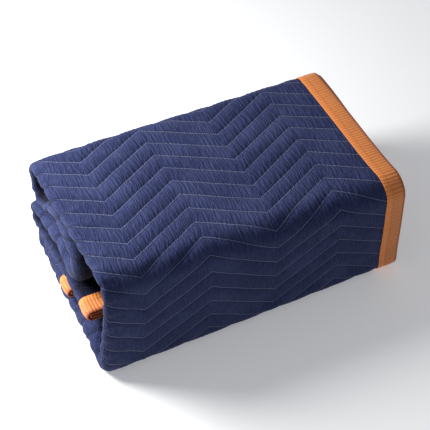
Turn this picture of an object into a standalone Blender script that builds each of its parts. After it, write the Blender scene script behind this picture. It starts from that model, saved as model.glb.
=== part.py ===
"""A quilted moving blanket, folded into a pack that lies flat on a shelf.

The blanket is one rectangle of quilted cloth with a woven tape bound round its four edges.
It is folded in half twice across its length, which gives four plies, and the strip of four
plies is then laid back and forth in six layers. Metres, +Z up. X runs along the pack, with
the doubled ends at -X and the bound sides at +X. The smooth front face looks along -Y.
"""

import math
from collections import namedtuple

import bpy

MM = 0.001

# Size of the folded pack
PACK_LENGTH = 523 * MM
HEIGHT_AT_BOUND_SIDES = 0.925  # share of the height at the doubled ends

# Cloth and tape
CLOTH_THICKNESS = 2 * MM
TAPE_THICKNESS = 0.7 * MM
TAPE_WIDTH = 34 * MM  # what shows of the tape on each face of the cloth
SEWING_GAP = 0.3 * MM  # between the cloth and the tape round it

# The four plies at the bound sides
DOUBLED_PLIES_SHORT = 10 * MM
TAPE_STEP = SEWING_GAP + TAPE_THICKNESS  # the plies move in by this, so the tape lies flush
TAPE_STEP_LENGTH = 12 * MM

# Facets
BEND_STEP = math.radians(31)
RUN_STEP = 130 * MM
SHORTEST_FACET = 2 * MM
WIDE_NOSE_FACETS = 6
NARROW_NOSE_FACETS = 4

# Way of the outer ply round the pack, from one bound end to the other. A row is a corner of
# that way: its distance from the back, its height and the radius of its bend, then the
# spacing of the plies there, how far in their doubled ends and the first bound side stand,
# and how far the second bound side stands inside the first.
Fold = namedtuple("Fold", "place depth height bend ply_step end_inset side_inset second_inset")
FOLDS = [
    Fold("first bound end", 165, 50, 0, 5.4, 2, 7, 2),
    Fold("first layer, middle", 90, 48, 0, 6.0, 4, 6, 2),
    Fold("lower back turn, top", 7, 45, 21.8, 5.4, 11, 4, 1),
    Fold("lower back turn, bottom", 7, 1, 21.8, 5.4, 11, 3, 1),
    Fold("underside, middle", 150, 1, 0, 6.4, 5, 8, 1),
    Fold("underside, in front of the bound ends", 236, 1, 0, 13.0, 2, 11, 0),
    Fold("front face, bottom", 312, 1, 25, 7.2, 0, 14, -1),
    Fold("front face, top", 310, 211, 33, 4.5, 11, 13, 2),
    Fold("upper back turn, top", 2.5, 190.5, 22, 4.7, 12, 5, -5),
    Fold("upper back turn, bottom", 2.5, 93, 34, 4.7, 12, 4, -4),
    Fold("second layer, rising", 100, 144, 40, 8.2, 13, 4, 2),
    Fold("inner front turn, top", 174, 147, 4, 10.4, 6, 8, 2),
    Fold("inner front turn, bottom", 174, 123.5, 4, 10.4, 4, 8, 2),
    Fold("third layer, middle", 110, 125, 60, 8.2, 8, 6, 2),
    Fold("third layer, falling", 60, 109, 60, 6.0, 8, 4, 2),
    Fold("middle back turn, top", 0.5, 108, 28, 5.0, 7, 3, -2),
    Fold("middle back turn, bottom", 0.5, 50, 28, 5.0, 7, 3, -2),
    Fold("fourth layer, middle", 120, 56, 0, 7.4, 5, 7, 2),
    Fold("last bound end", 248, 68, 0, 5.4, 3, 12, 2),
]

# The plies, from the outside of the pack inwards, as multiples of their spacing
OUTER_PLY = 0
SECOND_PLY = 1
THIRD_PLY = 2
INNER_PLY = 3

# Name: colour, roughness
NAVY_QUILT = ("navy quilted cotton blend", (0.042, 0.058, 0.135, 1), 0.92)
ORANGE_TAPE = ("orange woven tape", (0.60, 0.20, 0.055, 1), 0.78)


FRONT = max(row.depth for row in FOLDS)
BACK = min(row.depth for row in FOLDS)
MIDDLE_DEPTH = (FRONT + BACK) / 2
REST_HEIGHT = CLOTH_THICKNESS / 2

Station = namedtuple(
    "Station", "y z normal_y normal_z ply_step end_inset side_inset second_inset"
)
Stretch = namedtuple("Stretch", "start length evaluate first last")


def corner_point(row):
    """A row's corner as (y, z) in metres, with the back of the pack at +Y."""
    return ((MIDDLE_DEPTH - row.depth) * MM, row.height * MM)


def run_stretch(start, end):
    """A straight part of the way, as its length and a function of the distance along it."""
    length = math.dist(start, end)
    along = ((end[0] - start[0]) / length, (end[1] - start[1]) / length)

    def evaluate(distance):
        place = (start[0] + along[0] * distance, start[1] + along[1] * distance)
        return place, along

    return length, evaluate


def bend_stretch(start, along, radius, turn):
    """A round part of the way that starts at a point in a direction and turns by an angle."""
    side = math.copysign(1, turn)
    centre = (start[0] - along[1] * radius * side, start[1] + along[0] * radius * side)

    def evaluate(distance):
        angle = side * distance / radius
        cosine, sine = math.cos(angle), math.sin(angle)
        arm = (start[0] - centre[0], start[1] - centre[1])
        place = (
            centre[0] + arm[0] * cosine - arm[1] * sine,
            centre[1] + arm[0] * sine + arm[1] * cosine,
        )
        heading = (along[0] * cosine - along[1] * sine, along[0] * sine + along[1] * cosine)
        return place, heading

    return radius * abs(turn), evaluate


def rounded_way(rows):
    """The straight and round stretches through the rows' corners."""
    corners = [corner_point(row) for row in rows]
    stretches = []
    travelled = 0
    here = corners[0]
    for i in range(1, len(rows)):
        length_in, evaluate_in = run_stretch(here, corners[i])
        _, along = evaluate_in(0)
        bend, turn = rows[i].bend * MM, 0
        if bend:
            _, evaluate_out = run_stretch(corners[i], corners[i + 1])
            _, away = evaluate_out(0)
            cross = along[0] * away[1] - along[1] * away[0]
            turn = math.atan2(cross, along[0] * away[0] + along[1] * away[1])
        run_length = length_in - bend * math.tan(abs(turn) / 2)
        stretches.append(Stretch(travelled, run_length, evaluate_in, rows[i - 1], rows[i]))
        travelled += run_length
        here, _ = evaluate_in(run_length)
        if bend:
            bend_length, evaluate_bend = bend_stretch(here, along, bend, turn)
            stretches.append(Stretch(travelled, bend_length, evaluate_bend, rows[i], rows[i]))
            travelled += bend_length
            here, _ = evaluate_bend(bend_length)
    return stretches


WAY = rounded_way(FOLDS)
WAY_LENGTH = WAY[-1].start + WAY[-1].length


def smooth(share):
    share = min(max(share, 0), 1)
    return share * share * (3 - 2 * share)


def station(distance):
    """The outer ply at a distance along the way, and the direction out of the pack there."""
    stretch = WAY[0]
    for candidate in WAY:
        if distance >= candidate.start:
            stretch = candidate
    local = distance - stretch.start
    place, along = stretch.evaluate(local)
    blend = smooth(local / stretch.length)

    def mix(column):
        first, last = getattr(stretch.first, column), getattr(stretch.last, column)
        return (first + (last - first) * blend) * MM

    columns = ("ply_step", "end_inset", "side_inset", "second_inset")
    return Station(place[0], place[1], -along[1], along[0], *(mix(column) for column in columns))


def way_distances(start, end):
    """Distances along the way where the facets meet, between two distances."""
    places = [TAPE_WIDTH, WAY_LENGTH - TAPE_WIDTH]
    for stretch in WAY:
        is_bend = stretch.first is stretch.last
        step = stretch.first.bend * MM * BEND_STEP if is_bend else RUN_STEP
        facets = max(1, math.ceil(stretch.length / step - 0.01))
        places += [stretch.start + stretch.length * k / facets for k in range(facets)]
    distances = [start]
    for place in sorted(places):
        if place - distances[-1] > SHORTEST_FACET and end - place > SHORTEST_FACET:
            distances.append(place)
    return distances + [end]


# Places across the plies, from the first bound side to the second. Each is a function of a
# station that gives x, the distance out from the outer ply, and the direction of the
# cloth's upper face there.
RIGHT = PACK_LENGTH / 2
EDGE = RIGHT - TAPE_STEP
DOUBLED_EDGE = RIGHT - DOUBLED_PLIES_SHORT
STEP_START = RIGHT - TAPE_WIDTH - TAPE_STEP_LENGTH
STEP_END = RIGHT - TAPE_WIDTH - TAPE_STEP


def moved_in(x):
    """How far the plies move in under the tape at a place along the pack."""
    return TAPE_STEP * smooth((x - STEP_START) / (STEP_END - STEP_START))


def on_ply(ply, x, face):
    """A place on a flat ply; face is 1 where the upper face looks out of the pack."""

    def place(at):
        inset = at.side_inset + (at.second_inset if ply == SECOND_PLY else 0)
        return x - inset, -ply * at.ply_step - moved_in(x), 0, face

    return place


def on_left_nose(first, last, share):
    """A place on the round that joins two plies at -X, from the first ply to the last."""
    angle = math.pi * share
    half = (last - first) / 2
    widest = (INNER_PLY - OUTER_PLY) / 2

    def place(at):
        centre = -PACK_LENGTH / 2 + at.end_inset + widest * at.ply_step + CLOTH_THICKNESS / 2
        radius = half * at.ply_step
        middle = -(first + last) / 2 * at.ply_step
        out, across = math.cos(angle), math.sin(angle)
        face_x = -math.copysign(across, half)
        return centre - abs(radius) * across, middle + radius * out, face_x, out

    return place


def on_right_nose(share):
    """A place on the round that joins the inner ply to the third at +X."""
    angle = math.pi * share

    def place(at):
        radius = (INNER_PLY - THIRD_PLY) / 2 * at.ply_step
        middle = -(INNER_PLY + THIRD_PLY) / 2 * at.ply_step - TAPE_STEP
        out, across = -math.cos(angle), math.sin(angle)
        x = DOUBLED_EDGE - at.side_inset - radius + radius * across
        return x, middle + radius * out, across, out

    return place


def cloth_columns():
    """Places across the cloth, in order: down the outer ply, round, and back out."""
    wide = [k / WIDE_NOSE_FACETS for k in range(WIDE_NOSE_FACETS + 1)]
    narrow = [k / NARROW_NOSE_FACETS for k in range(NARROW_NOSE_FACETS + 1)]
    columns = [on_ply(OUTER_PLY, x, 1) for x in (EDGE, STEP_END, STEP_START)]
    columns += [on_left_nose(OUTER_PLY, INNER_PLY, share) for share in wide]
    columns += [on_ply(INNER_PLY, x, -1) for x in (STEP_START, STEP_END)]
    columns += [on_right_nose(share) for share in narrow]
    columns += [on_ply(THIRD_PLY, x, 1) for x in (STEP_END, STEP_START)]
    columns += [on_left_nose(THIRD_PLY, SECOND_PLY, share) for share in narrow]
    columns += [on_ply(SECOND_PLY, x, -1) for x in (STEP_START, STEP_END, EDGE)]
    return columns


def in_pack(column, distance, lift=0):
    """The world place of a column at a distance along the way, lifted off the cloth's middle."""
    at = station(distance)
    x, out, face_x, face_out = column(at)
    x += lift * face_x
    out += lift * face_out
    drop = 1 - (1 - HEIGHT_AT_BOUND_SIDES) * (x / PACK_LENGTH + 0.5)
    height = REST_HEIGHT + (at.z - REST_HEIGHT) * drop
    return (x, at.y + out * at.normal_y, height + out * at.normal_z)


def principled(name, colour, roughness):
    material = bpy.data.materials.new(name)
    material.use_nodes = True
    shader = material.node_tree.nodes["Principled BSDF"]
    shader.inputs["Base Color"].default_value = colour
    shader.inputs["Roughness"].default_value = roughness
    shader.inputs["Metallic"].default_value = 0
    return material


def folded_sheet(name, rows, columns, place, thickness, material, collection):
    """A flat grid moved into its folded shape and given its thickness."""
    bpy.ops.mesh.primitive_grid_add(x_subdivisions=columns - 1, y_subdivisions=rows - 1)
    sheet = bpy.context.object
    sheet.name = name
    sheet.data.name = name
    for index, vertex in enumerate(sheet.data.vertices):
        row, column = divmod(index, columns)
        vertex.co = place(row, column)
    solidify = sheet.modifiers.new("thickness", "SOLIDIFY")
    solidify.thickness = thickness
    solidify.offset = 0
    sheet.data.materials.append(material)
    for other in sheet.users_collection:
        other.objects.unlink(sheet)
    collection.objects.link(sheet)
    return sheet


def quilted_cloth(material, collection):
    """The blanket's cloth, a single sheet from bound end to bound end."""
    distances = way_distances(TAPE_STEP, WAY_LENGTH - TAPE_STEP)
    columns = cloth_columns()

    def place(row, column):
        return in_pack(columns[column], distances[row])

    folded_sheet(
        "quilted_cloth", len(distances), len(columns), place, CLOTH_THICKNESS, material, collection
    )


def tape_section():
    """The tape's middle line round an edge, as (distance in from its outside, lift) pairs."""
    lift = CLOTH_THICKNESS / 2 + SEWING_GAP + TAPE_THICKNESS / 2
    return [
        (TAPE_WIDTH, lift),
        (TAPE_THICKNESS / 2, lift),
        (TAPE_THICKNESS / 2, -lift),
        (TAPE_WIDTH, -lift),
    ]


def side_binding(name, ply, material, collection):
    """Tape along one long bound side, between the tapes on the two bound ends."""
    reach = TAPE_WIDTH + SEWING_GAP
    distances = way_distances(reach, WAY_LENGTH - reach)
    section = tape_section()

    def place(row, column):
        inwards, lift = section[column]
        return in_pack(on_ply(ply, RIGHT - inwards, 1), distances[row], lift)

    folded_sheet(name, len(distances), len(section), place, TAPE_THICKNESS, material, collection)


def end_binding(name, outside, direction, material, collection):
    """Tape across one bound end, round all four plies."""
    columns = cloth_columns()
    section = tape_section()

    def place(row, column):
        inwards, lift = section[row]
        return in_pack(columns[column], outside + direction * inwards, lift)

    folded_sheet(name, len(section), len(columns), place, TAPE_THICKNESS, material, collection)


def build():
    for item in list(bpy.data.objects):
        bpy.data.objects.remove(item)
    collection = bpy.data.collections.new("folded_moving_blanket")
    bpy.context.scene.collection.children.link(collection)
    quilt = principled(*NAVY_QUILT)
    tape = principled(*ORANGE_TAPE)
    quilted_cloth(quilt, collection)
    side_binding("side_binding_outer", OUTER_PLY, tape, collection)
    side_binding("side_binding_second", SECOND_PLY, tape, collection)
    end_binding("end_binding_first", 0, 1, tape, collection)
    end_binding("end_binding_last", WAY_LENGTH, -1, tape, collection)


build()
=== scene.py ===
"""A quilted moving blanket, folded into a pack, on a pale floor.

The cloth and its edge tapes are laid out flat at their cut sizes, and then folded the way that
the blanket is: in half twice across its length, and the strip of four plies back and forth.
Metres, +Z up. X runs along the pack, with the bound sides at +X and the front face at -Y.
"""

import math
from collections import namedtuple

import bpy
import numpy as np
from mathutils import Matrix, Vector


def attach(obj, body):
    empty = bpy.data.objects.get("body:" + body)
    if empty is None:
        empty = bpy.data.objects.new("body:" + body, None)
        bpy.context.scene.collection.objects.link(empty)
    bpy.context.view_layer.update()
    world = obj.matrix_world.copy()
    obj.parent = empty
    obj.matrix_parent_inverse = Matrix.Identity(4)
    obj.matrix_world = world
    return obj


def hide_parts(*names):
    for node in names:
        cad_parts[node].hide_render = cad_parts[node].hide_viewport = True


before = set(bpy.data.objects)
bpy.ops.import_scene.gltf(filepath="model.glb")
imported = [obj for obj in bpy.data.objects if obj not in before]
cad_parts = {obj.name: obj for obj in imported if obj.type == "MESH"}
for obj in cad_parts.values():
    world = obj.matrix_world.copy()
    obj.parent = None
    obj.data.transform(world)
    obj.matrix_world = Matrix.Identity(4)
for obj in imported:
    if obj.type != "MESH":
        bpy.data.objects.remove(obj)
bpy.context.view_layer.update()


# ---------------------------------------------------------------------------------------------
# Camera, at the photograph's angle: above the front left corner. It looks at the middle of the
# pack, from 2.3 m away, through a lens that lets the pack fill most of a square picture.

VIEW_AZIMUTH = math.radians(-26.2)
VIEW_ELEVATION = math.radians(47.5)
VIEW_DISTANCE = 2.30
LENS_MM = 122
SENSOR_MM = 36
AIM = Vector((0.0, 0.0, 0.092))

towards_camera = Vector((
    math.sin(VIEW_AZIMUTH) * math.cos(VIEW_ELEVATION),
    -math.cos(VIEW_AZIMUTH) * math.cos(VIEW_ELEVATION),
    math.sin(VIEW_ELEVATION),
))
bpy.ops.object.camera_add(location=AIM + towards_camera * VIEW_DISTANCE)
camera = bpy.context.object
camera.name = "camera"
camera.rotation_euler = towards_camera.to_track_quat("Z", "Y").to_euler()
camera.data.lens = LENS_MM
camera.data.sensor_width = SENSOR_MM
bpy.context.scene.camera = camera


# ---------------------------------------------------------------------------------------------
# The quilted cloth: one panel of woven cotton blend over batting, sewn through in stepped
# zigzag rows. It is cut 1.69 m by 2.02 m, folded to four plies, and then laid back and forth.

MM = 0.001
PACK_LENGTH = 523 * MM
HEIGHT_AT_BOUND_SIDES = 0.925  # share of the height at the doubled ends
TAPE_WIDTH = 34 * MM
TAPE_STEP = 1 * MM  # the plies move in by this under the tape
TAPE_STEP_LENGTH = 12 * MM
REST_HEIGHT = 1 * MM  # the outer ply's middle where it lies on the floor
FLOOR_GAP = 0.1 * MM  # no face comes nearer to the floor than this

# Way of the outer ply round the pack. A row is a corner of that way: its distance from the
# back, its height and the radius of its bend, then the spacing of the plies there, how far in
# their doubled ends and the first bound side stand, and how far in the second one stands then.
Fold = namedtuple("Fold", "place depth height bend ply_step end_inset side_inset second_inset")
FOLD_COLUMNS = Fold._fields[4:]  # the ones that change little by little along the way
FOLDS = [
    Fold("first bound end", 165, 50, 0, 5.4, 2, 7, 2),
    Fold("first layer, middle", 90, 48, 0, 6.0, 4, 6, 2),
    Fold("lower back turn, top", 7, 45, 21.8, 5.4, 11, 4, 1),
    Fold("lower back turn, bottom", 7, 1, 21.8, 5.4, 11, 3, 1),
    Fold("underside, middle", 150, 1, 0, 6.4, 5, 8, 1),
    Fold("underside, in front of the bound ends", 236, 1, 0, 13.0, 2, 11, 0),
    Fold("front face, bottom", 312, 1, 25, 7.2, 0, 14, -1),
    Fold("front face, top", 310, 211, 33, 4.5, 11, 13, 2),
    Fold("upper back turn, top", 2.5, 190.5, 22, 4.7, 12, 5, -5),
    Fold("upper back turn, bottom", 2.5, 93, 34, 4.7, 12, 4, -4),
    Fold("second layer, rising", 100, 144, 40, 8.2, 13, 4, 2),
    Fold("inner front turn, top", 174, 147, 4, 10.4, 6, 8, 2),
    Fold("inner front turn, bottom", 174, 123.5, 4, 10.4, 4, 8, 2),
    Fold("third layer, middle", 110, 125, 60, 8.2, 8, 6, 2),
    Fold("third layer, falling", 60, 109, 60, 6.0, 8, 4, 2),
    Fold("middle back turn, top", 0.5, 108, 28, 5.0, 7, 3, -2),
    Fold("middle back turn, bottom", 0.5, 50, 28, 5.0, 7, 3, -2),
    Fold("fourth layer, middle", 120, 56, 0, 7.4, 5, 7, 2),
    Fold("last bound end", 248, 68, 0, 5.4, 3, 12, 2),
]
MIDDLE_DEPTH = (max(row.depth for row in FOLDS) + min(row.depth for row in FOLDS)) / 2
WAY_STEP = 2 * MM


def smooth(share):
    """From 0 to 1 with no corner at either end."""
    share = np.clip(share, 0, 1)
    return share * share * (3 - 2 * share)


def fold_way():
    """Points every 2 mm along the way: distance, y, z, heading, and the table's columns."""
    corners = [np.array(((MIDDLE_DEPTH - row.depth) * MM, row.height * MM)) for row in FOLDS]
    headings = [
        math.atan2(*(after - before)[::-1]) for before, after in zip(corners, corners[1:])
    ]
    point, travelled = corners[0], 0.0
    way = []

    def travel(length, turn, first, last):
        nonlocal point, travelled
        steps = max(2, round(length / WAY_STEP))
        for k in range(steps):
            share = (k + 0.5) / steps
            blend = smooth(k / steps)
            columns = [
                (getattr(first, name) * (1 - blend) + getattr(last, name) * blend) * MM
                for name in FOLD_COLUMNS
            ]
            way.append([travelled, *point, heading + turn * k / steps, *columns])
            angle = heading + turn * share
            point = point + np.array((math.cos(angle), math.sin(angle))) * length / steps
            travelled += length / steps

    heading = headings[0]
    for i in range(1, len(FOLDS)):
        row = FOLDS[i]
        bend, turn = row.bend * MM, 0.0
        if bend:
            turn = (headings[i] - heading + math.pi) % (2 * math.pi) - math.pi
        length = math.dist(point, corners[i]) - bend * math.tan(abs(turn) / 2)
        travel(length, 0, FOLDS[i - 1], row)
        if bend:
            travel(bend * abs(turn), turn, row, row)
        heading = headings[min(i, len(headings) - 1)]
    columns = [getattr(FOLDS[-1], name) * MM for name in FOLD_COLUMNS]
    way.append([travelled, *point, heading, *columns])
    return np.array(way).T


WAY = fold_way()
WAY[3] = np.unwrap(WAY[3])
WAY_LENGTH = WAY[0, -1]

# The panel across, from the first bound side to the second. A flat ply keeps its number and a
# round joins two of them, at the doubled end (-1) or at the right (1). The face is on the
# upper side of a ply and on the outside of a round where the last column says 1.
Across = namedtuple("Across", "part length first_ply last_ply side face")
PANEL = [
    Across("outer ply", 499, 0, 0, 0, 1),
    Across("outer round", 28, 0, 3, -1, 1),
    Across("inner ply", 487, 3, 3, 0, -1),
    Across("right round", 9, 3, 2, 1, 1),
    Across("third ply", 487, 2, 2, 0, 1),
    Across("inner round", 9, 2, 1, -1, -1),
    Across("second ply", 499, 1, 1, 0, -1),
]
PANEL_ENDS = np.cumsum([0] + [row.length * MM for row in PANEL])
PANEL_WIDTH = PANEL_ENDS[-1]
OUTER_END, INNER_START, INNER_END = PANEL_ENDS[1:4]
NOSE = (OUTER_END + INNER_START) / 2  # the middle of the doubled end, across the panel

# Soft hollows and swells of the folded cloth: where they lie along X and along the way, how
# far they reach each way, and how far they stand out, in millimetres.
Swell = namedtuple("Swell", "place x way reach_x reach_way height")
SWELLS = [
    Swell("top front edge, drawn in at the left", -190, 680, 120, 38, -4.0),
    Swell("top front edge, squarer at the right", 150, 684, 130, 30, 2.5),
    Swell("top, sunk behind the front edge", 20, 770, 150, 45, -2.0),
    Swell("top, full at the back left", -150, 900, 110, 60, 1.5),
    Swell("top, sunk at the back right", 140, 900, 90, 60, -2.0),
    Swell("front face, full in the middle", -30, 590, 170, 60, 2.5),
    Swell("front face, drawn in at the bottom right", 180, 530, 90, 35, -2.0),
]

# Quilting: stepped zigzag rows. Distances along the way and across the panel.
ROW_SPACING = 32.3 * MM
ROW_RISE = 63 * MM  # how far a row climbs along the way between its low and its high corner
HALF_ZIGZAG = 110.5 * MM
LOW_CORNER = 214 * MM  # a low corner's distance from the first bound side, on the top
ROW_AT_LOW_CORNER = 674.5 * MM
FRONT_DRIFT = 10 * MM  # the corners run off to the left by this, down the front edge
DRIFT_START = 800 * MM  # where that drift sets in on the top, and over how far it grows
DRIFT_REACH = 120 * MM
LOFT = 3.4 * MM  # thickness of the cloth between the rows
LOFT_AT_STITCHES = 0.30  # share of the loft
UNDER_FACE = 1 * MM  # the way's line runs this far under the face of the outer ply
NOSE_PINCH = 2.0 * MM  # the rows draw the doubled ends in by this
NOSE_NOTCH = 1.2 * MM  # and down by this beside them
NOTCH_REACH = 24 * MM
PLEAT_SPACING = 6.5 * MM  # small pleats at the doubled ends
PLEAT_DEPTHS = np.random.default_rng(7).uniform(-1, 1, 700)
PLEATS_BEFORE = 50  # pleats of that list that lie before the first bound end
PLEAT_DEPTH = 1.0 * MM
PLEAT_NOTCH = 0.7  # share of a pleat's depth that goes down beside the doubled ends
CLEAR_OF_TAPE = 10 * MM  # the pleats fade over this, next to a tape
RIGHT_ROUND_INSET = 10 * MM
OUTER_RELIEF = 1.9 * MM  # the outer ply rises by this more between its rows


def pattern_across(across, along):
    """Distance across the panel as the zigzags have it, which run a little off its grain."""
    return across - FRONT_DRIFT * smooth((DRIFT_START - along) / DRIFT_REACH)


def panel_part(across):
    """Which row of PANEL a distance lies in, and the share of that row's length before it."""
    part = np.clip(np.searchsorted(PANEL_ENDS, across, side="right") - 1, 0, len(PANEL) - 1)
    return part, (across - PANEL_ENDS[part]) / (PANEL_ENDS[part + 1] - PANEL_ENDS[part])


def ply_number(across):
    """0 on the outer ply to 3 on the inner one, with shares of a ply on the rounds."""
    part, share = panel_part(across)
    first, last = np.array([(row.first_ply, row.last_ply) for row in PANEL]).T[:, part]
    return first + (last - first) * (1 - np.cos(np.pi * share)) / 2


# How much further a ply runs than the one outside it, along the way, because of the bends.
# The cloth's slack takes it up again over the stretches between them.
SLACK_REACH = 110 * MM
bend_gain = np.concatenate(([0], np.cumsum(WAY[4, :-1] * np.diff(WAY[3]))))
gain_sum = np.concatenate(([0], np.cumsum(bend_gain[:-1] * np.diff(WAY[0]))))
reach_ends = [np.clip(WAY[0] + reach, 0, WAY_LENGTH) for reach in (-SLACK_REACH, SLACK_REACH)]
gain_before, gain_after = (np.interp(ends, WAY[0], gain_sum) for ends in reach_ends)
PLY_GAIN = bend_gain - (gain_after - gain_before) / (reach_ends[1] - reach_ends[0])


def pattern_along(across, along):
    """Distance along the cloth of its own ply."""
    return along + ply_number(across) * np.interp(along, WAY[0], PLY_GAIN)


def zigzag(across, along):
    """How far the rows have climbed at a distance across the panel."""
    from_low = pattern_across(across, along) - LOW_CORNER
    share = np.abs((from_low + HALF_ZIGZAG) % (2 * HALF_ZIGZAG) - HALF_ZIGZAG)
    return share / HALF_ZIGZAG * ROW_RISE


def puff(across, along, power=0.6):
    """0 on a row of stitches, 1 midway between two rows; a higher power gives a rounder rise."""
    rows = (along - zigzag(across, along) - ROW_AT_LOW_CORNER) / ROW_SPACING
    return np.sin(np.pi * (rows % 1)) ** power


def folded(across, along, lift, on_cloth):
    """Where points of the flat panel come to lie in the pack, lifted off its middle by lift.

    The pinches and pleats are the cloth's own, and the tapes go without them.
    """
    y, z, heading, step, end_inset, side_inset, second_inset = (
        np.interp(along, WAY[0], column) for column in WAY[1:]
    )
    part, share = panel_part(across)
    at_nose = np.full_like(across, NOSE)
    pinched = 1 - puff(at_nose, pattern_along(at_nose, along), 0.5)
    pleat_place = pattern_along(across, along) / PLEAT_SPACING + PLEATS_BEFORE
    pleat = np.interp(pleat_place, np.arange(len(PLEAT_DEPTHS)), PLEAT_DEPTHS)
    from_ends = np.minimum(along, WAY_LENGTH - along)
    past_tape = smooth((from_ends - TAPE_WIDTH) / CLEAR_OF_TAPE) * on_cloth

    # Where each ply starts and ends along X. The outer round spans three steps between plies and
    # the right one spans one, so each reaches out by half of that.
    left = -PACK_LENGTH / 2 + end_inset + 1.5 * step + UNDER_FACE + NOSE_PINCH * pinched
    left = left + PLEAT_DEPTH * (pleat + 0.5) * past_tape
    edge = PACK_LENGTH / 2 - TAPE_STEP - side_inset
    right = PACK_LENGTH / 2 - RIGHT_ROUND_INSET - side_inset - 0.5 * step
    ends = {
        "outer ply": (edge, left),
        "inner ply": (left, right),
        "third ply": (right, left),
        "second ply": (left, edge - second_inset),
    }
    x, out, face_x, face_out = np.zeros((4, len(across)))
    for k, row in enumerate(PANEL):
        here = part == k
        if row.side:
            half = (row.last_ply - row.first_ply) / 2 * step[here]
            centre = left[here] if row.side < 0 else right[here]
            turn = np.pi * share[here]
            x[here] = centre + row.side * np.abs(half) * np.sin(turn)
            out[here] = half * np.cos(turn) - (row.first_ply + row.last_ply) / 2 * step[here]
            face_x[here] = row.face * row.side * np.sin(turn)
            face_out[here] = row.face * np.sign(half) * np.cos(turn)
        else:
            start, end = ends[row.part]
            x[here] = (start + (end - start) * share)[here]
            out[here] = -row.first_ply * step[here]
            face_out[here] = row.face

    under_tape_end = PACK_LENGTH / 2 - TAPE_WIDTH - TAPE_STEP
    under_tape = smooth((x + side_inset - under_tape_end + TAPE_STEP_LENGTH) / TAPE_STEP_LENGTH)
    out -= TAPE_STEP * under_tape
    if on_cloth:
        beside_nose = np.exp(-(((across - OUTER_END) / NOTCH_REACH) ** 2)) * past_tape
        out -= (LOFT / 2 - UNDER_FACE) * (1 - under_tape) + NOSE_NOTCH * pinched * beside_nose
        out -= PLEAT_NOTCH * PLEAT_DEPTH * pleat * beside_nose
    for swell in SWELLS:
        reach = ((x / MM - swell.x) / swell.reach_x) ** 2
        reach += ((along / MM - swell.way) / swell.reach_way) ** 2
        out += swell.height * MM * np.exp(-reach)
    x = x + lift * face_x
    out = out + lift * face_out
    drop = 1 - (1 - HEIGHT_AT_BOUND_SIDES) * (x / PACK_LENGTH + 0.5)
    height = REST_HEIGHT + (z - REST_HEIGHT) * drop
    return np.stack((x, y - out * np.sin(heading), height + out * np.cos(heading)), axis=1)


def read_places(piece):
    places = np.empty(len(piece.data.vertices) * 3, dtype=np.float32)
    piece.data.vertices.foreach_get("co", places)
    return places.reshape(-1, 3).astype(float)


def flat_grid(name, columns, rows):
    """A grid laid flat, with its lines at these distances across and along the panel."""
    bpy.ops.object.select_all(action="DESELECT")
    bpy.ops.mesh.primitive_grid_add(
        x_subdivisions=len(columns) - 1, y_subdivisions=len(rows) - 1, size=1
    )
    piece = bpy.context.object
    piece.name = piece.data.name = name
    places = read_places(piece)
    places[:, 0] = np.interp(places[:, 0] + 0.5, np.linspace(0, 1, len(columns)), columns)
    places[:, 1] = np.interp(places[:, 1] + 0.5, np.linspace(0, 1, len(rows)), rows)
    piece.data.vertices.foreach_set("co", places.ravel())
    return piece


def select_faces(piece, chosen):
    """Opens the piece in edit mode with only these faces selected."""
    for elements in (piece.data.vertices, piece.data.edges):
        elements.foreach_set("select", np.zeros(len(elements), dtype=bool))
    piece.data.polygons.foreach_set("select", chosen)
    bpy.ops.object.mode_set(mode="EDIT")
    bpy.ops.mesh.select_mode(type="VERT")
    bpy.ops.mesh.select_mode(type="FACE")


def refine(piece, across, along):
    """Cuts each face between these places, in mm across and along a flat piece, in four."""
    middles = np.empty(len(piece.data.polygons) * 3, dtype=np.float32)
    piece.data.polygons.foreach_get("center", middles)
    u, v = middles[0::3] / MM, middles[1::3] / MM
    select_faces(piece, (u > across[0]) & (u < across[1]) & (v > along[0]) & (v < along[1]))
    bpy.ops.mesh.subdivide(number_cuts=1, ngon=False)
    bpy.ops.object.mode_set(mode="OBJECT")


def write_uv(piece, across, along):
    """The flat panel's own metres as the piece's UV map."""
    corners = np.empty(len(piece.data.loops), dtype=np.int32)
    piece.data.loops.foreach_get("vertex_index", corners)
    flat = np.stack((across[corners], along[corners]), axis=1)
    piece.data.uv_layers.active.data.foreach_set("uv", flat.ravel())


def apply_modifiers(piece):
    bpy.context.view_layer.objects.active = piece
    for modifier in list(piece.modifiers):
        bpy.ops.object.modifier_apply(modifier=modifier.name)


def divided(*stretches):
    """Grid lines from (end in mm, number of cells up to there), starting at 0."""
    lines = [0.0]
    for end, cells in stretches:
        lines += list(np.linspace(lines[-1], end * MM, cells + 1)[1:])
    return np.array(lines)


# Grid lines across fall on the zigzag's corners on the outer ply. Lines along the panel fall on
# the rows of stitches and midway between them. The faces are then cut smaller on the parts that
# show, and most of all round the doubled ends and in the inner front turn.
CLEAR_OF_END = 5 * MM  # no row of faces at the cloth's ends is thinner than this
ends_mm = PANEL_ENDS / MM
column_lines = divided(
    (103.5, 11), (214, 11), (324.5, 11), (435, 11), (479, 5), (499, 2), (ends_mm[2], 4),
    (ends_mm[2] + 60, 4), (ends_mm[3], 10), (ends_mm[4], 4), (ends_mm[5], 10), (ends_mm[6], 4),
    (ends_mm[7], 12),
)
cloth_start, cloth_end = TAPE_STEP, WAY_LENGTH - TAPE_STEP
row_lines = np.arange(-50, 80) * ROW_SPACING / 2 + ROW_AT_LOW_CORNER + ROW_RISE / 2
row_lines = row_lines[
    (row_lines > cloth_start + CLEAR_OF_END) & (row_lines < cloth_end - CLEAR_OF_END)
]
row_lines = np.concatenate(([cloth_start], row_lines, [cloth_end]))

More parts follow.
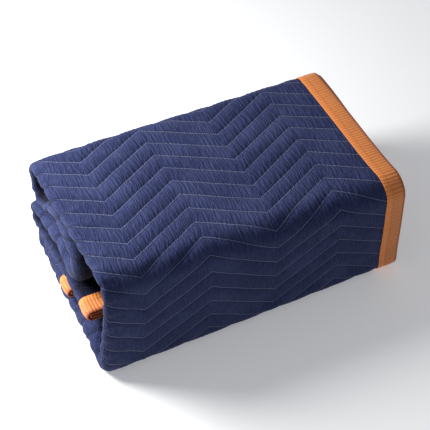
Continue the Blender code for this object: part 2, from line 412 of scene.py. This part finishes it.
cloth = flat_grid("quilted_panel", column_lines, row_lines)
outer_ply, whole_way, inner_turn = (0, 479), (0, 2000), (1150, 1260)
for across_mm, along_mm in (
    (outer_ply, (110, 1100)),
    (outer_ply, (1350, 1500)),
    ((479, ends_mm[2] + 60), whole_way),
    (outer_ply, (425, 1095)),
    ((479, ends_mm[2] + 5), whole_way),
    ((503, ends_mm[2] + 30), inner_turn),
    ((508, ends_mm[2] + 30), inner_turn),
):
    refine(cloth, across_mm, along_mm)

# On the outer ply the grid's rows follow the stitches. On the plies inside they run straight,
# closer at the bends, with one for so much length or so much bend.
ROW_FOR_LENGTH = 26 * MM
ROW_FOR_BEND = math.radians(24)
flat = read_places(cloth)
across, row_line = flat[:, 0], flat[:, 1]
end_distance = np.minimum(row_line - cloth_start, cloth_end - row_line)
on_grain = smooth(end_distance / (150 * MM))
with_stitches = row_line + (zigzag(across, row_line) - ROW_RISE / 2) * on_grain
turning = np.concatenate(([0], np.cumsum(np.abs(np.diff(WAY[3])))))
cost = WAY[0] / ROW_FOR_LENGTH + turning / ROW_FOR_BEND
row_share = np.interp(row_line, row_lines, np.linspace(0, 1, len(row_lines)))
with_bends = np.interp(row_share, cost / cost[-1], WAY[0])
inside = smooth((across - INNER_START - 20 * MM) / (200 * MM))
along = with_stitches * (1 - inside) + np.clip(with_bends, cloth_start, cloth_end) * inside

# Puckers, which the stitching draws into the cloth: short ridges along the blanket, a new set
# of them between each two rows of stitches, and deeper where the rows climb to the right.
PUCKER_PITCH = 7.6 * MM
PUCKER_ROWS, PUCKERS_IN_ROW = 64, 190
PUCKER_ROWS_BEFORE = 30  # rows of them before the stitches at ROW_AT_LOW_CORNER
PUCKER_HEIGHTS = np.random.default_rng(4).uniform(0.25, 1.0, (PUCKER_ROWS, PUCKERS_IN_ROW))
PUCKER_HEIGHTS[:, 1::2] *= -1
DEEP_PUCKER, SHALLOW_PUCKER = 0.95 * MM, 0.65 * MM
LONG_WANDER, SHORT_WANDER = 31 * MM, 13 * MM  # the ridges crowd and spread over these
TOP_START, TOP_END, TOP_BLEND = 650 * MM, 1000 * MM, 60 * MM  # of the top, along the way


def puckers(across, along):
    """How far the outer ply's middle rises or sinks, with its puckers and between its rows."""
    rows = (along - zigzag(across, along) - ROW_AT_LOW_CORNER) / ROW_SPACING
    band = np.floor(rows).astype(int) + PUCKER_ROWS_BEFORE
    between = rows - np.floor(rows)
    place = across / (PUCKER_PITCH / 2) + 1.1 * np.sin(across / LONG_WANDER + 1.7 * band)
    place += 0.5 * np.sin(across / SHORT_WANDER + 2.9 * band) + 4
    knot = np.floor(place).astype(int) % (PUCKERS_IN_ROW - 2)
    share = smooth(place - np.floor(place))
    height = PUCKER_HEIGHTS[band, knot] * (1 - share) + PUCKER_HEIGHTS[band, knot + 1] * share
    from_low = pattern_across(across, along) - LOW_CORNER
    climbs = (from_low / (2 * HALF_ZIGZAG)) % 1 > 0.5
    height *= np.where(climbs, DEEP_PUCKER, SHALLOW_PUCKER)
    height *= 1 - 0.4 * np.abs(2 * between - 1) ** 3
    from_side = smooth(across / (60 * MM))
    on_outer_ply = from_side * smooth((OUTER_END + 8 * MM - across) / (24 * MM))
    on_top = smooth((along - TOP_START) / TOP_BLEND) * smooth((TOP_END - along) / TOP_BLEND)
    relief = OUTER_RELIEF * (0.35 + 0.65 * on_top) * (puff(across, along, 0.8) - 0.4)
    return (height * (0.3 + 0.7 * on_top) + relief) * on_outer_ply


# The batting's loft at each place, as a share of LOFT: least on the stitches, less on the inner
# plies and at the doubled ends, and pressed thin under the tapes.
UNDER_TAPE_BLEND = 14 * MM
HIDDEN_THINNER = 0.35
NOSE_THINNER, NOSE_THIN_REACH = 0.45, 26 * MM
LOFT_AT_EDGE, LOFT_UNDER_TAPE = 0.26, 0.48

edge_distance = np.minimum(across, PANEL_WIDTH - across)
edge_distance = np.minimum(edge_distance, np.minimum(along, WAY_LENGTH - along))
held = 1 - smooth((edge_distance - TAPE_WIDTH) / UNDER_TAPE_BLEND)
pattern = pattern_across(across, along), pattern_along(across, along)
loft = LOFT_AT_STITCHES + (1 - LOFT_AT_STITCHES) * puff(across, pattern[1])
hidden = smooth((across - INNER_START) / (80 * MM))
thin_nose = 1 - NOSE_THINNER * np.exp(-(((across - NOSE) / NOSE_THIN_REACH) ** 2))
loft = loft * (1 - HIDDEN_THINNER * hidden) * thin_nose
pressed = LOFT_AT_EDGE + (LOFT_UNDER_TAPE - LOFT_AT_EDGE) * smooth(edge_distance / (5 * MM))
loft = loft * (1 - held) + pressed * held
write_uv(cloth, *pattern)
placed = folded(across, along, puckers(across, along), True)
placed[:, 2] = np.maximum(placed[:, 2], LOFT * loft / 2 + FLOOR_GAP)
cloth.data.vertices.foreach_set("co", placed.ravel())
group = cloth.vertex_groups.new(name="loft")
for index, weight in enumerate(loft):
    group.add([index], float(weight), "REPLACE")
solidify = cloth.modifiers.new("loft", "SOLIDIFY")
solidify.thickness = LOFT
solidify.offset = 0
solidify.vertex_group = "loft"
shell_faces = len(cloth.data.polygons)
face_starts = np.empty(shell_faces, dtype=np.int32)
cloth.data.polygons.foreach_get("loop_start", face_starts)
corner_vertices = np.empty(len(cloth.data.loops), dtype=np.int32)
cloth.data.loops.foreach_get("vertex_index", corner_vertices)
first_corner = corner_vertices[face_starts]
apply_modifiers(cloth)

# The back of the outer ply lies hidden against the next one, so it keeps fewer faces, sunk a
# little so that none of the larger ones comes through the cloth's face.
BACK_FROM, BACK_TO = 45 * MM, 470 * MM
BACK_FACES_KEPT = 0.12
BACK_SINK = 0.5 * MM
hidden_back = np.zeros(len(cloth.data.polygons), dtype=bool)
hidden_back[:shell_faces] = (across[first_corner] < BACK_TO) & (across[first_corner] > BACK_FROM)
select_faces(cloth, hidden_back)
bpy.ops.mesh.decimate(ratio=BACK_FACES_KEPT)
bpy.ops.transform.shrink_fatten(value=BACK_SINK)
bpy.ops.object.mode_set(mode="OBJECT")
bpy.ops.object.shade_smooth()


def linear(hex_colour):
    """An sRGB hex colour as linear RGBA."""
    channels = [int(hex_colour[i:i + 2], 16) / 255 for i in (1, 3, 5)]
    return tuple(
        c / 12.92 if c <= 0.04045 else ((c + 0.055) / 1.055) ** 2.4 for c in channels
    ) + (1.0,)


def add(tree, kind, inputs, output=0, **settings):
    """Adds a shader node with its settings and returns one of its outputs.

    Each input is a value or another node's output.
    """
    node = tree.nodes.new("ShaderNode" + kind)
    for name, value in settings.items():
        setattr(node, name, value)
    for key, value in inputs.items():
        if isinstance(value, bpy.types.NodeSocket):
            tree.links.new(value, node.inputs[key])
        else:
            node.inputs[key].default_value = value
    return node.outputs[output]


def new_material(name):
    material = bpy.data.materials.new(name)
    material.use_nodes = True
    return material, material.node_tree, material.node_tree.nodes["Principled BSDF"]


def flat_place(tree):
    """The place on the flat cloth or tape, across it and along it, in metres."""
    flat_metres = add(tree, "UVMap", {}, uv_map="UVMap")
    return [add(tree, "SeparateXYZ", {0: flat_metres}, output=part) for part in (0, 1)]


def grain(tree, across, along, size, detail):
    """A pattern of soft grains from 0 to 1, of this size across and along."""
    place = add(tree, "CombineXYZ", {
        0: add(tree, "Math", {0: across, 1: size[0]}, operation="DIVIDE"),
        1: add(tree, "Math", {0: along, 1: size[1]}, operation="DIVIDE"),
    })
    inputs = {"Vector": place, "Scale": 1.0, "Detail": detail, "Roughness": 0.55}
    return add(tree, "TexNoise", inputs, noise_dimensions="2D")


# Navy cotton and polyester sheeting, loosely woven and quilted over batting. It has no gloss:
# the eye gets a heather of dark and pale yarns, fine puckers with painted shade between them,
# paler worn patches, a pale thread down in troughs of painted shade, and painted shade close to
# black on the inner ply down in the hollows. The real yarns are under half a millimetre thick
# and the real stitches about 3 mm long. Both are too fine for the render and are drawn coarser
# here.
NAVY_DARK_YARN = "#242b4f"
NAVY_LIGHT_YARN = "#3a4269"
NAVY_WORN = "#414a70"
# Painted shade, for the troughs along the rows and between the puckers.
NAVY_PAINTED_SHADE = "#111530"
# Painted shade close to black, for the inner ply down in the hollows at the doubled ends.
NAVY_PAINTED_HOLLOW_SHADE = "#080a16"
QUILTING_THREAD = "#747a9c"
WARP_GRAIN = (1.2 * MM, 3.2 * MM)
WEFT_GRAIN = (3.6 * MM, 1.3 * MM)
FINE_PUCKER = (3.1 * MM, 19 * MM)
WORN_PATCH = (55 * MM, 70 * MM)
STITCH_LENGTH = 4.5 * MM
THREAD_EDGE = (0.35 * MM, 1.2 * MM)  # the thread ends between these, out from a row's middle
# The painted shade beside a row fades out between these, out from its middle.
TROUGH_SHADE_EDGE = (0.6 * MM, 4.5 * MM)
NOSE_EDGE = (8 * MM, 24 * MM)  # the thread sinks in between these, out from the doubled end
FINE_PUCKER_HEIGHT = 0.75 * MM
YARN_HEIGHT = 0.16 * MM
THREAD_HEIGHT = 0.35 * MM
SOFT = {"interpolation_type": "SMOOTHSTEP"}  # for a range that starts and ends softly
COLOURS = {"data_type": "RGBA", "output": 2}  # for a mix of two colours


def quilt_material():
    material, tree, shader = new_material("navy quilted cotton")
    across, along = flat_place(tree)

    # The rows of stitches, and the distance from the nearest one, square to it.
    slope = math.atan2(ROW_RISE, HALF_ZIGZAG)
    from_low = add(tree, "Math", {0: across, 1: LOW_CORNER}, operation="SUBTRACT")
    climb = add(tree, "Math", {0: from_low, 1: HALF_ZIGZAG}, operation="PINGPONG")
    climb = add(tree, "Math", {0: climb, 1: ROW_RISE / HALF_ZIGZAG}, operation="MULTIPLY")
    level = add(tree, "Math", {0: along, 1: climb}, operation="SUBTRACT")
    level = add(tree, "Math", {0: level, 1: ROW_AT_LOW_CORNER}, operation="SUBTRACT")
    from_row = add(tree, "Math", {0: level, 1: ROW_SPACING / 2}, operation="PINGPONG")
    from_row = add(tree, "Math", {0: from_row, 1: math.cos(slope)}, operation="MULTIPLY")

    # The thread, with a gap between one stitch and the next, and the band of painted shade along
    # the row it lies in.
    start, end = THREAD_EDGE
    thread = add(tree, "MapRange", {0: from_row, 1: start, 2: end, 3: 1, 4: 0}, **SOFT)
    stitch_across = math.cos(slope) * STITCH_LENGTH
    stitch = add(tree, "Math", {0: across, 1: stitch_across}, operation="DIVIDE")
    stitch = add(tree, "Math", {0: stitch}, operation="FRACT")
    stitch = add(tree, "Math", {0: stitch, 1: 0.5}, operation="PINGPONG")
    stitch = add(tree, "MapRange", {0: stitch, 1: 0.04, 2: 0.16, 3: 0.45, 4: 1}, **SOFT)
    thread = add(tree, "Math", {0: thread, 1: stitch}, operation="MULTIPLY")
    start, end = TROUGH_SHADE_EDGE
    trough_shade = add(tree, "MapRange", {0: from_row, 1: start, 2: end, 3: 1, 4: 0}, **SOFT)

    # Fine puckers, a new set of them between each two rows.
    band = add(tree, "Math", {0: level, 1: ROW_SPACING}, operation="DIVIDE")
    band = add(tree, "Math", {0: band}, operation="FLOOR")
    own_along = add(tree, "Math", {0: along, 1: band}, operation="ADD")
    fine_puckers = grain(tree, across, own_along, FINE_PUCKER, 1.0)
    fine_puckers = add(tree, "MapRange", {0: fine_puckers, 1: 0.28, 2: 0.72}, **SOFT)

    # The heather of the yarns, with painted shade between the puckers, and paler where it is
    # worn.
    warp = grain(tree, across, along, WARP_GRAIN, 1.0)
    weft = grain(tree, across, along, WEFT_GRAIN, 1.0)
    patches = grain(tree, across, along, WORN_PATCH, 3.0)
    warp = add(tree, "Math", {0: warp, 1: 0.6}, operation="MULTIPLY")
    heather = add(tree, "Math", {0: weft, 1: 0.4, 2: warp}, operation="MULTIPLY_ADD")
    heather = add(tree, "MapRange", {0: heather, 1: 0.30, 2: 0.70}, **SOFT)
    yarns = {0: heather, 6: linear(NAVY_DARK_YARN), 7: linear(NAVY_LIGHT_YARN)}
    colour = add(tree, "Mix", yarns, **COLOURS)
    # Painted shade in the hollows between the puckers.
    between = add(tree, "Math", {0: 1.0, 1: fine_puckers}, operation="SUBTRACT")
    between = add(tree, "Math", {0: between, 1: 0.34}, operation="MULTIPLY")
    colour = add(tree, "Mix", {0: between, 6: colour, 7: linear(NAVY_PAINTED_SHADE)}, **COLOURS)
    worn = add(tree, "MapRange", {0: patches, 1: 0.42, 2: 0.72, 4: 0.35}, **SOFT)
    colour = add(tree, "Mix", {0: worn, 6: colour, 7: linear(NAVY_WORN)}, **COLOURS)

    # Painted shade in the troughs, deeper at the doubled ends, and the thread over it: at the
    # doubled ends the thread sinks in.
    from_nose = add(tree, "Math", {0: across, 1: float(NOSE)}, operation="SUBTRACT")
    from_nose = add(tree, "Math", {0: from_nose}, operation="ABSOLUTE")
    start, end = NOSE_EDGE
    at_nose = add(tree, "MapRange", {0: from_nose, 1: start, 2: end, 3: 1, 4: 0}, **SOFT)
    share = add(tree, "Math", {0: at_nose, 1: 0.4, 2: 0.42}, operation="MULTIPLY_ADD")
    share = add(tree, "Math", {0: trough_shade, 1: share}, operation="MULTIPLY")
    colour = add(tree, "Mix", {0: share, 6: colour, 7: linear(NAVY_PAINTED_SHADE)}, **COLOURS)
    share = add(tree, "Math", {0: at_nose, 1: -0.6, 2: 0.75}, operation="MULTIPLY_ADD")
    share = add(tree, "Math", {0: thread, 1: share}, operation="MULTIPLY")
    colour = add(tree, "Mix", {0: share, 6: colour, 7: linear(QUILTING_THREAD)}, **COLOURS)

    # Painted shade: the inner ply, which shows only down in the hollows at the doubled ends, is
    # darkened close to black there, where shade falls.
    start, end = float(INNER_START) - 12 * MM, float(INNER_START) + 1 * MM
    hollow_shade = add(tree, "MapRange", {0: across, 1: start, 2: end}, **SOFT)
    start, end = float(INNER_END) - 70 * MM, float(INNER_END) - 30 * MM
    share = add(tree, "MapRange", {0: across, 1: start, 2: end, 3: 0.85, 4: 0}, **SOFT)
    share = add(tree, "Math", {0: hollow_shade, 1: share}, operation="MULTIPLY")
    colour = add(tree, "Mix", {0: share, 6: colour, 7: linear(NAVY_PAINTED_HOLLOW_SHADE)}, **COLOURS)
    tree.links.new(colour, shader.inputs["Base Color"])

    normal = add(tree, "Bump", {"Height": fine_puckers, "Distance": FINE_PUCKER_HEIGHT})
    for height, distance in ((heather, YARN_HEIGHT), (thread, THREAD_HEIGHT)):
        relief = {"Height": height, "Distance": distance, "Normal": normal}
        normal = add(tree, "Bump", relief)
    tree.links.new(normal, shader.inputs["Normal"])
    shader.inputs["Roughness"].default_value = 0.92
    shader.inputs["Specular IOR Level"].default_value = 0.15
    shader.inputs["Sheen Weight"].default_value = 0.04
    shader.inputs["Sheen Roughness"].default_value = 0.45
    return material


cloth.data.materials.append(quilt_material())
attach(cloth, "root")
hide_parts("quilted_cloth")


# ---------------------------------------------------------------------------------------------
# The edge tapes: woven polyester tape folded over the panel's edges and sewn through, with
# cross ribs. Two run along the long sides and two across the short ends.

TAPE_THICKNESS = 0.7 * MM
TAPE_LIFT = 1.65 * MM  # the tape's middle off the cloth's middle
INNER_EDGE_DROP = 0.2 * MM  # its inner edge is pressed down by this
STITCHES_IN = 11 * MM  # the line of stitches, in from the tape's inner edge
INNER_SWELL = 0.35 * MM  # the tape stands out by this between its inner edge and the stitches
OUTER_SWELL = 0.45 * MM  # and by this between the stitches and the rim
SWELL_MIDDLE, SWELL_HALF = 20.5, 10.5  # where that outer one is, in mm from the inner edge
RIM = 4 * MM  # the smooth fold at the tape's outer edge
RIM_DEPTH = 3.1 * MM
RIM_INSET = 0.35 * MM
GATHER_PITCH = 5.6 * MM
GATHERS = 1400
GATHER_HEIGHTS = np.random.default_rng(9).uniform(0.35, 1.0, GATHERS)
GATHER_HEIGHTS[1::2] *= -1
GATHER_HEIGHT = 0.26 * MM
GATHER_WANDER, GATHER_LEAN = 17 * MM, 43 * MM  # they crowd and spread, and lean, over these


def tape_profile():
    """Round the edge: (distance in from the outside, lift), with the rim rounded."""
    stitches = STITCHES_IN / MM
    half = []
    for from_inner in (0, 0.4, 1.2, 3, 5.5, 8, 10, 11, 12, 14, 17, 20, 23, 26, 28.5, 30.5):
        lift = TAPE_LIFT
        if from_inner < stitches:
            lift += INNER_SWELL * (1 - (from_inner / (stitches / 2) - 1) ** 2)
        elif from_inner > stitches:
            lift += OUTER_SWELL * (1 - ((from_inner - SWELL_MIDDLE) / SWELL_HALF) ** 2)
        if from_inner == 0:
            lift -= INNER_EDGE_DROP
        half.append((TAPE_WIDTH - from_inner * MM, lift))
    for k in range(1, 5):
        angle = math.pi / 2 * k / 4
        inwards = RIM_INSET + RIM_DEPTH * (1 - math.sin(angle))
        half.append((inwards, TAPE_LIFT * math.cos(angle)))
    return half + [(inwards, -lift) for inwards, lift in half[-2::-1]]


PROFILE = np.array(tape_profile())
AROUND = np.concatenate(([0], np.cumsum(np.hypot(*np.diff(PROFILE, axis=0).T))))


def gathers(around, length):
    """The tape's small cross folds, from the stitches out to the rim."""
    place = length / (GATHER_PITCH / 2) + 0.8 * np.sin(length / GATHER_WANDER) + 3
    place = place + 1.3 * around / (20 * MM) * np.sin(length / GATHER_LEAN)
    knot = np.floor(place).astype(int) % (GATHERS - 2)
    share = smooth(place - np.floor(place))
    height = GATHER_HEIGHTS[knot] * (1 - share) + GATHER_HEIGHTS[knot + 1] * share
    from_edge = np.minimum(around, AROUND[-1] - around)
    past_stitches = smooth((from_edge - STITCHES_IN + 1.5 * MM) / (4 * MM))
    zone = past_stitches * smooth((TAPE_WIDTH - RIM - from_edge) / (5 * MM))
    return height * GATHER_HEIGHT * (zone + 0.25 * smooth(from_edge / (3 * MM)))


# Woven polyester tape, dyed orange: a dull sheen, soft ribs where the stitches gather it, with
# painted shade in the grooves between them, and painted shade on the rim where it wraps the
# edge.
# Its own weave is about half a millimetre fine, and is drawn two or three times as coarse to
# show in the render.
TAPE_BRIGHT = "#f69242"
TAPE_DULL = "#e38c46"
# Painted shade for the grooves, and also the dark thread and weave.
TAPE_DARK_YARN_AND_GROOVE_SHADE = "#b06029"
# Painted shade for the rim, which turns away from the light.
TAPE_RIM_SHADE = "#b35929"
WEAVE_GRAIN = (1.0 * MM, 1.8 * MM)
RIB_DRIFT = (14 * MM, 30 * MM)
DULL_PATCH = (30 * MM, 22 * MM)
STITCH_LINE = (0.4 * MM, 1.4 * MM)
RIB_HEIGHT = 0.45 * MM
WEAVE_HEIGHT = 0.25 * MM


def tape_material():
    material, tree, shader = new_material("orange woven tape")
    around, length = flat_place(tree)
    middle = float(AROUND[-1]) / 2
    from_edge = add(tree, "Math", {0: around, 1: middle}, operation="PINGPONG")

    # Soft grooves between the ribs, at uneven distances.
    drift = grain(tree, length, from_edge, RIB_DRIFT, 1.0)
    ribs = add(tree, "Math", {0: length, 1: GATHER_PITCH}, operation="DIVIDE")
    ribs = add(tree, "Math", {0: drift, 1: 0.7, 2: ribs}, operation="MULTIPLY_ADD")
    ribs = add(tree, "Math", {0: ribs, 1: 0.5}, operation="PINGPONG")
    groove = add(tree, "MapRange", {0: ribs, 2: 0.42, 3: 1, 4: 0}, **SOFT)
    weave = grain(tree, length, from_edge, WEAVE_GRAIN, 1.0)

    # Bright inside the stitches, duller in patches outside them, with painted shade in the
    # grooves, and painted shade darkest on the rim.
    start, end = STITCHES_IN - 1.2 * MM, STITCHES_IN + 0.8 * MM
    outer = add(tree, "MapRange", {0: from_edge, 1: start, 2: end}, **SOFT)
    start, end = TAPE_WIDTH - RIM - 2 * MM, TAPE_WIDTH - RIM + 1 * MM
    rim_shade = add(tree, "MapRange", {0: from_edge, 1: start, 2: end}, **SOFT)
    patches = grain(tree, length, from_edge, DULL_PATCH, 2.0)
    patches = add(tree, "MapRange", {0: patches, 1: 0.3, 2: 0.7, 3: 0.55, 4: 1.0}, **SOFT)
    dull = add(tree, "Math", {0: outer, 1: patches}, operation="MULTIPLY")
    both = {0: dull, 6: linear(TAPE_BRIGHT), 7: linear(TAPE_DULL)}
    colour = add(tree, "Mix", both, **COLOURS)
    # Painted shade in the grooves between the ribs, deeper outside the stitches.
    share = add(tree, "Math", {0: outer, 1: 0.42, 2: 0.2}, operation="MULTIPLY_ADD")
    share = add(tree, "Math", {0: groove, 1: share}, operation="MULTIPLY")
    colour = add(tree, "Mix", {0: share, 6: colour, 7: linear(TAPE_DARK_YARN_AND_GROOVE_SHADE)}, **COLOURS)
    # Painted shade on the rim, where the tape turns away from the light.
    colour = add(tree, "Mix", {0: rim_shade, 6: colour, 7: linear(TAPE_RIM_SHADE)}, **COLOURS)

    # The line of stitches, and the weave over all.
    from_stitches = add(tree, "Math", {0: from_edge, 1: STITCHES_IN}, operation="SUBTRACT")
    from_stitches = add(tree, "Math", {0: from_stitches}, operation="ABSOLUTE")
    start, end = STITCH_LINE
    share = add(tree, "MapRange", {0: from_stitches, 1: start, 2: end, 3: 1, 4: 0}, **SOFT)
    share = add(tree, "Math", {0: share, 1: 0.45}, operation="MULTIPLY")
    colour = add(tree, "Mix", {0: share, 6: colour, 7: linear(TAPE_DARK_YARN_AND_GROOVE_SHADE)}, **COLOURS)
    share = add(tree, "MapRange", {0: weave, 1: 0.3, 2: 0.7, 4: 0.3}, **SOFT)
    colour = add(tree, "Mix", {0: share, 6: colour, 7: linear(TAPE_DARK_YARN_AND_GROOVE_SHADE)}, **COLOURS)
    tree.links.new(colour, shader.inputs["Base Color"])

    normal = add(tree, "Bump", {"Height": groove, "Distance": -RIB_HEIGHT})
    relief = {"Height": weave, "Distance": WEAVE_HEIGHT, "Normal": normal}
    tree.links.new(add(tree, "Bump", relief), shader.inputs["Normal"])
    shader.inputs["Roughness"].default_value = 0.66
    shader.inputs["Sheen Weight"].default_value = 0.1
    return material


tape_finish = tape_material()


def edge_tape(name, rows, place, node):
    """A tape laid flat as a grid, folded over its edge and given its thickness."""
    tape = flat_grid(name, AROUND, rows)
    flat = read_places(tape)
    around, length = flat[:, 0], flat[:, 1]
    write_uv(tape, around, length)
    inwards = np.interp(around, AROUND, PROFILE[:, 0])
    lift = np.interp(around, AROUND, PROFILE[:, 1])
    lift = lift + np.sign(lift) * gathers(around, length)
    places = place(inwards, lift, length)
    places[:, 2] = np.maximum(places[:, 2], TAPE_THICKNESS / 2 + FLOOR_GAP)
    tape.data.vertices.foreach_set("co", places.ravel())
    solidify = tape.modifiers.new("thickness", "SOLIDIFY")
    solidify.thickness = TAPE_THICKNESS
    solidify.offset = 0
    apply_modifiers(tape)
    bpy.ops.object.shade_smooth()
    tape.data.materials.append(tape_finish)
    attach(tape, "root")
    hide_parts(node)
    return tape


SIDE_TAPE_ROW = 1.9 * MM
END_TAPE_LIFT = 0.85  # share of the lift: pressed flatter between the plies


def outer_side(inwards, lift, length):
    return folded(inwards - TAPE_STEP, length, lift, False)


def second_side(inwards, lift, length):
    return folded(PANEL_WIDTH - inwards + TAPE_STEP, length, -lift, False)


def first_end(inwards, lift, length):
    return folded(length, inwards, lift * END_TAPE_LIFT, False)


def last_end(inwards, lift, length):
    return folded(length, WAY_LENGTH - inwards, lift * END_TAPE_LIFT, False)


# The side tapes stop short of the end tapes. The end tapes have closer rows at the doubled ends
# and on the rounds.
side_rows = np.arange(TAPE_WIDTH + 0.3 * MM, WAY_LENGTH - TAPE_WIDTH, SIDE_TAPE_ROW)
end_rows = divided(
    (380, 39), (479, 45), (ends_mm[2] + 20, 34), (ends_mm[3], 39), (ends_mm[4], 7),
    (ends_mm[5], 19), (ends_mm[6], 7), (ends_mm[7], 19),
)
tapes = [
    edge_tape("outer_side_tape", side_rows, outer_side, "side_binding_outer"),
    edge_tape("second_side_tape", side_rows, second_side, "side_binding_second"),
    edge_tape("first_end_tape", end_rows, first_end, "end_binding_first"),
    edge_tape("last_end_tape", end_rows, last_end, "end_binding_last"),
]


# ---------------------------------------------------------------------------------------------
# Studio: a pale floor, one soft light from the upper left at the back, and a pale surround. The
# floor is matte studio paper, which glows a little to throw light up on the front face.

PAPER = "#eeeeec"
PAPER_GLOW = 0.26
KEY_PLACE = (-0.74, 0.46, 0.70)
KEY_SIZE = 0.5
KEY_WATTS = 20.5
SURROUND = "#e6ebf7"
SURROUND_STRENGTH = 0.32

bpy.ops.object.select_all(action="DESELECT")
bpy.ops.mesh.primitive_plane_add(size=14)
floor = bpy.context.object
floor.name = "studio_floor"
floor_finish, _, floor_shader = new_material("pale studio paper")
floor_shader.inputs["Base Color"].default_value = linear(PAPER)
floor_shader.inputs["Roughness"].default_value = 0.9
floor_shader.inputs["Emission Color"].default_value = linear("#ffffff")
floor_shader.inputs["Emission Strength"].default_value = PAPER_GLOW
floor.data.materials.append(floor_finish)

bpy.ops.object.light_add(type="AREA", location=KEY_PLACE)
key_light = bpy.context.object
key_light.name = "key_light"
key_light.data.shape = "DISK"
key_light.data.size = KEY_SIZE
key_light.data.energy = KEY_WATTS
key_light.rotation_euler = (Vector(KEY_PLACE) - AIM).to_track_quat("Z", "Y").to_euler()

world = bpy.data.worlds.new("pale surround")
world.use_nodes = True
surround = world.node_tree.nodes["Background"]
surround.inputs[0].default_value = linear(SURROUND)
surround.inputs[1].default_value = SURROUND_STRENGTH
bpy.context.scene.world = world
bpy.context.scene.view_settings.view_transform = "Standard"
